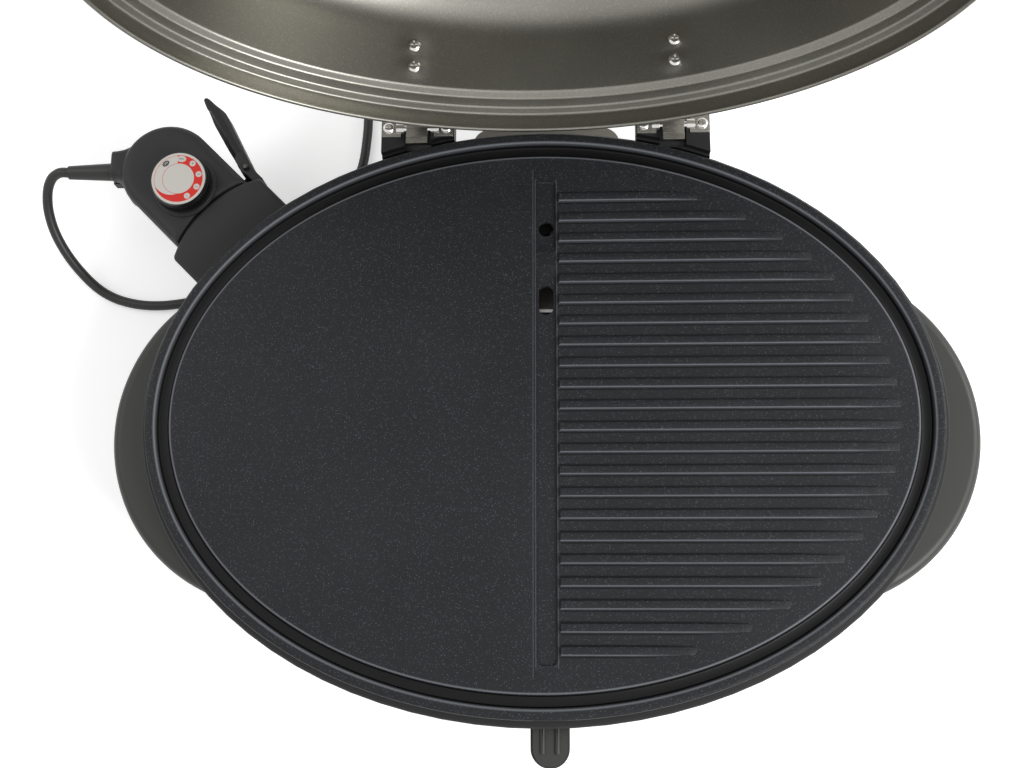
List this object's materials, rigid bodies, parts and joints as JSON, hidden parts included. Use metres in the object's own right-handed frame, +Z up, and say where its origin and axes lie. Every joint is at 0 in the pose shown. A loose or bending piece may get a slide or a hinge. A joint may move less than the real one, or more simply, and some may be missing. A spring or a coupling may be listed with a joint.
{
  "type": "electric table grill",
  "caption": "oval electric table grill with a half flat, half ribbed plate, hinged metal lid, side handles, drip tray and plug-in thermostat with lead",
  "frame": {"origin": "on the table under the middle of the object with its lid open, its lead left out", "axes": "+X right along the long side, +Y toward the hinges, +Z up"},
  "size_m": [0.6307, 0.5771, 0.496],
  "materials": {
    "plastic_black": "fine-grained black moulding",
    "plastic_olive": "dark olive-grey moulding",
    "rubber": "black rubber",
    "steel": "stainless steel",
    "screw_steel": "bright plated steel",
    "reflector_metal": "bright sheet",
    "element_metal": "heat-darkened steel tube",
    "ceramic": "white ceramic",
    "nonstick": "cast aluminium with dark speckled non-stick coating",
    "tray_metal": "satin pressed sheet",
    "lid_metal": "champagne-grey metallic sheet",
    "handle_plastic": "black heat-proof plastic",
    "brass": "sprung brass",
    "knob_black": "black plastic",
    "dial_pale": "pale printed disc",
    "cord_black": "black flexible sheath"
  },
  "bodies": {
    "base": {"base_shell": "plastic_black", "left_handle": "plastic_olive", "right_handle": "plastic_olive", "front_tab": "plastic_olive", "rubber_feet": "rubber", "foot_screws": "screw_steel", "heat_reflector": "reflector_metal", "reflector_screws": "screw_steel", "heating_element": "element_metal", "element_supports": "reflector_metal", "terminal_block": "ceramic", "terminal_pins": "screw_steel", "plug_collar": "plastic_black", "hinge_post_left": "plastic_black", "hinge_post_right": "plastic_black", "hinge_plate_left": "steel", "hinge_plate_right": "steel", "hinge_pins": "screw_steel", "hinge_screws": "screw_steel", "tray_rails": "plastic_black"},
    "lid": {"lid_shell": "lid_metal", "lid_strap_left": "steel", "lid_strap_right": "steel", "strap_screws": "screw_steel", "strap_nuts": "screw_steel", "lid_handle": "handle_plastic", "handle_spacers": "steel", "handle_screws": "screw_steel"},
    "plate": {"grill_plate": "nonstick"},
    "tray": {"drip_tray": "tray_metal"},
    "controller": {"housing_top": "plastic_black", "housing_bottom": "plastic_black", "housing_screws": "screw_steel", "thermostat_switch": "ceramic", "probe_tube": "steel", "contact_sleeves": "brass", "seat_ring": "plastic_black", "lever_pin": "screw_steel", "strain_relief": "cord_black", "power_cord": "cord_black", "cord_coil": "cord_black", "mains_plug": "cord_black", "plug_pins": "screw_steel"},
    "dial_knob": {"knob": "knob_black", "dial_disc": "dial_pale", "knob_shaft": "steel"},
    "lever": {"eject_lever": "plastic_black"}
  },
  "joints": [
    {"name": "lid_hinge", "type": "hinge", "parent": "base", "child": "lid", "pos_m": [0.01334, 0.13872, 0.0996], "axis": [-1, 0, 0], "range_deg": [-96.5, 0]},
    {"name": "plate_lift", "type": "slide", "parent": "base", "child": "plate", "axis": [0, 0, 1], "range_m": [0, 0.1]},
    {"name": "tray_slide", "type": "slide", "parent": "base", "child": "tray", "axis": [0, 1, 0], "range_m": [0, 0.12]},
    {"name": "controller_pull", "type": "slide", "parent": "base", "child": "controller", "axis": [-0.7071, 0.7071, 0], "range_m": [0, 0.085]},
    {"name": "knob_turn", "type": "hinge", "parent": "controller", "child": "dial_knob", "pos_m": [-0.23093, 0.10834, 0.09], "axis": [0, 0, 1], "range_deg": [0, 270]},
    {"name": "lever_press", "type": "hinge", "parent": "controller", "child": "lever", "pos_m": [-0.19161, 0.12418, 0.061], "axis": [0, 0, 1], "range_deg": [0, 12]}
  ]
}
